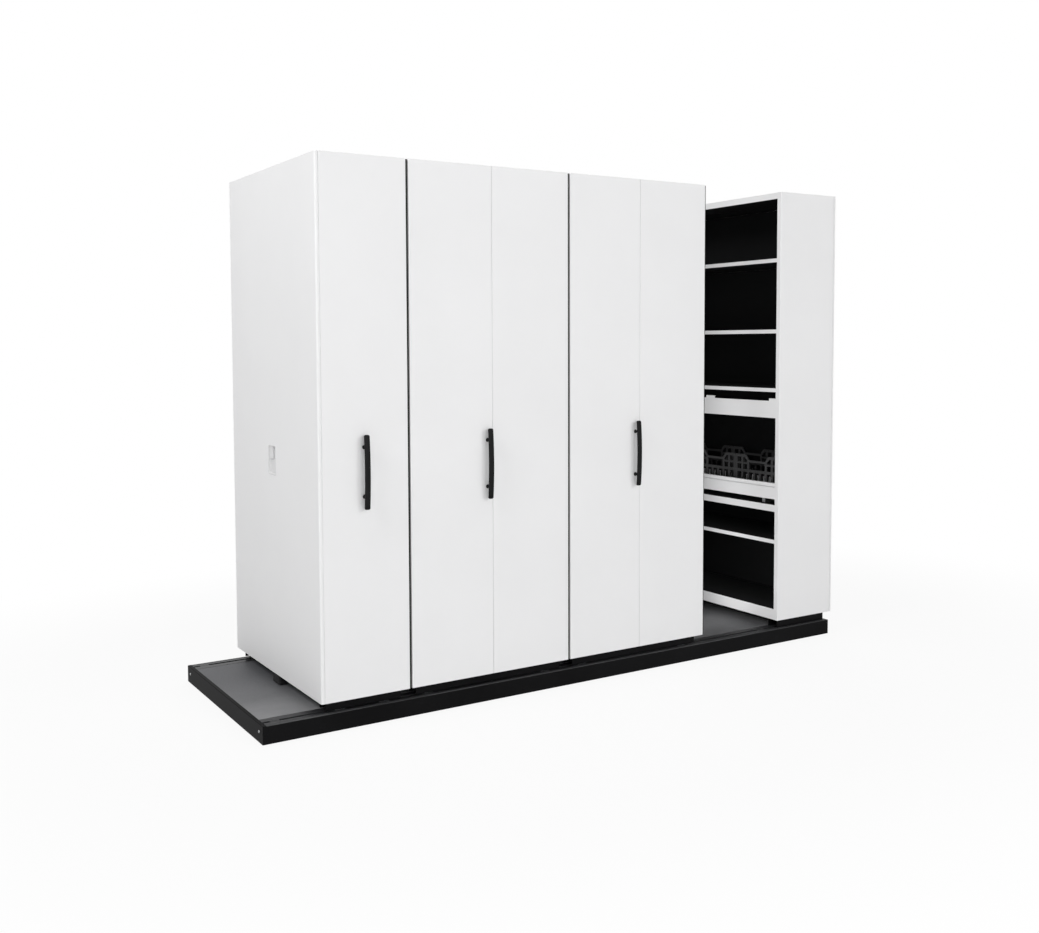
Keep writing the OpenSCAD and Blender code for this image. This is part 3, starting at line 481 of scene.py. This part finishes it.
def pressing(name, face, centre, half_w, half_h, radius, path):
    """A pressed form: a path of inset and depth is carried round a rounded rectangle on the panel's face,
    its corner radius falling with the inset, and both its ends are drawn together in the middle."""
    reach = min(half_w, half_h) - flat_half
    rings = np.array([rounded_ring(half_w - min(inset, reach), half_h - min(inset, reach),
                                   max(least_radius, radius - radius_loss * inset), 10)
                      for inset, _ in path])
    rings[[0, -1]] = 0.0
    points = np.empty(rings.shape[:2] + (3,))
    points[..., 0] = face + np.array(path)[:, 1][:, None]
    points[..., 1:] = rings + centre
    return closed_grid(name, points)


pull_middle, pull_half = middle_and_half("left_flush_pull")
pull_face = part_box("left_side_panel")[0][0]
deep = pull_middle[0] + pull_half[0] - pull_face
cup_path = [(to_middle, deep - 0.0015), (0.012, deep - 0.0015), (0.008, deep - 0.0018),
            (0.0058, deep - 0.0030), (0.0050, deep - 0.0050), (0.0046, 0.0012), (0.0040, -0.0004),
            (0.0030, -0.0011), (0.0015, -0.0012), (0.0004, -0.0008), (0.0, 0.0), (0.0030, 0.0),
            (0.0030, deep - 0.003), (0.0045, deep - 0.0008), (0.007, deep), (to_middle, deep)]
cup = pressing("cup", pull_face, pull_middle[1:], *pull_half[1:], radius=0.010, path=cup_path)
tab_margin = 0.004
tab_low, tab_high = np.array([-tab_margin, tab_margin]), pull_half[1:] - tab_margin
tab_path = [(to_middle, 0.0032), (0.006, 0.0030), (0.0016, 0.0032), (0.0004, 0.0040), (0.0, 0.0052),
            (0.0, deep - 0.001), (to_middle, deep - 0.001)]
tab = pressing("tab", pull_face, pull_middle[1:] + (tab_low + tab_high) / 2, *(tab_high - tab_low) / 2,
               radius=0.006, path=tab_path)
pull = joined("left_pull_pressing", [cup, tab])
pull.data.materials.append(baked_coat("pull_coat", (0.68, 0.68, 0.685),
                                      drift=0.02, rough=0.4, shine=0.3, peel_mm=1.2, peel_depth=0.00003))
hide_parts("left_flush_pull")
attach(pull, "left_unit")


# Floor and backdrop: a sheet of white paper. Near the object the camera still sees a share
# of its lit surface, so the object keeps its shadow, and further out it is plain white.
def seen_by_eye(tree):
    """A factor of 1 for rays from the camera, from gloss and through glass."""
    path = add(tree, "LightPath")
    direct = add(tree, "Math", "MAXIMUM")
    seen = add(tree, "Math", "MAXIMUM")
    wire(tree, (path, "Is Camera Ray", direct, 0), (path, "Is Glossy Ray", direct, 1),
         (direct, "Value", seen, 0), (path, "Is Transmission Ray", seen, 1))
    return seen


def studio_paper(length, depth):
    """Paper: the white share rises smoothly between an ellipse of three quarters of this length and depth
    and one of twice that size."""
    material, tree, paper = surface("studio_paper")
    paper.inputs["Roughness"].default_value = 0.9
    paper.inputs["Specular IOR Level"].default_value = 0.1
    place = add(tree, "TexCoord")
    fibre = add(tree, "TexNoise", Scale=35.0)
    tone = ramp(tree, 0.0, (0.74, 0.74, 0.74), 1.0, (0.78, 0.78, 0.78))
    spread = add(tree, "Mapping", Scale=(2 / length, 2 / depth, 1.0))
    outward = add(tree, "VectorMath", "LENGTH")
    share = add(tree, "MapRange", From_Min=0.75, From_Max=1.5, To_Min=0.90)
    share.interpolation_type = "SMOOTHSTEP"
    amount = add(tree, "Math", "MULTIPLY")
    plain = add(tree, "Emission")
    blend = add(tree, "MixShader")
    wire(tree, (place, "Object", fibre, "Vector"), (fibre, "Fac", tone, "Fac"),
         (tone, "Color", paper, "Base Color"), (place, "Object", spread, "Vector"),
         (spread, "Vector", outward, 0), (outward, "Value", share, "Value"),
         (seen_by_eye(tree), "Value", amount, 0), (share, "Result", amount, 1),
         (amount, "Value", blend, "Fac"), (paper, "BSDF", blend, 1), (plain, "Emission", blend, 2),
         (blend, "Shader", tree.nodes["Material Output"], "Surface"))
    return material


half_floor = 30
floor_mesh = bpy.data.meshes.new("floor")
floor_mesh.from_pydata([(side_x * half_floor, side_y * half_floor, 0)
                        for side_x, side_y in ((-1, -1), (1, -1), (1, 1), (-1, 1))], [], [(0, 1, 2, 3)])
floor = bpy.data.objects.new("floor", floor_mesh)
floor.data.materials.append(studio_paper(length=5.8, depth=4.2))
bpy.context.scene.collection.objects.link(floor)


# Light: a key lamp before the block and to its right throws the handles' soft shadows to the left. Broad
# lamps stand before it and behind it, a high one over its closed side, and two strips in the aisle light
# the open shelves. The surround is white to the eye and grey as a light.
def soft_lamp(name, place, target, width, height, power, spread=180):
    """A lamp of this width and height at a place, turned to face its target, whose light leaves it within a
    cone of spread degrees. No ray from the camera sees it."""
    lamp_data = bpy.data.lights.new(name, "AREA")
    lamp_data.shape = "RECTANGLE"
    lamp_data.size = width
    lamp_data.size_y = height
    lamp_data.energy = power
    lamp_data.spread = np.radians(spread)
    lamp = bpy.data.objects.new(name, lamp_data)
    lamp.visible_camera = False
    away = np.subtract(place, target) / np.linalg.norm(np.subtract(place, target))
    side = np.cross((0, 0, 1), away) / np.linalg.norm(np.cross((0, 0, 1), away))
    over = np.cross(away, side)
    lamp.matrix_world = Matrix([[side[i], over[i], away[i], place[i]] for i in range(3)] + [[0, 0, 0, 1]])
    bpy.context.scene.collection.objects.link(lamp)


soft_lamp("key_lamp", (3.2, -7.6, 4.0), (0.2, 0.0, 1.0), 2.4, 2.4, 134)
soft_lamp("broad_lamp", (-1.6, -7.5, 1.8), (-0.1, 0.0, 1.0), 4.2, 3.2, 166)
soft_lamp("side_lamp", (-5.6, -1.2, 5.2), (-1.4, -0.2, 2.0), 2.6, 2.6, 212)
soft_lamp("aisle_lamp", (0.72, -0.15, 1.25), (1.2, -0.2, 1.3), 0.2, 2.0, 2.15, 130)
soft_lamp("aisle_foot_lamp", (0.74, -0.15, 0.27), (1.2, -0.2, 0.22), 0.2, 0.25, 0.33, 90)
soft_lamp("back_lamp", (5.8, 6.4, 3.6), (0.9, 0.2, 1.1), 3.6, 3.0, 190)
surround_light = 0.36
world = bpy.data.worlds.new("studio")
bpy.context.scene.world = world
world.use_nodes = True
sky = world.node_tree
surround = sky.nodes["Background"]
surround.inputs["Color"].default_value = (1, 1, 1, 1)
level = add(sky, "MapRange", To_Min=surround_light, To_Max=1.0)
wire(sky, (seen_by_eye(sky), "Value", level, "Value"), (level, "Result", surround, "Strength"))
bpy.context.scene.view_settings.view_transform = "Standard"
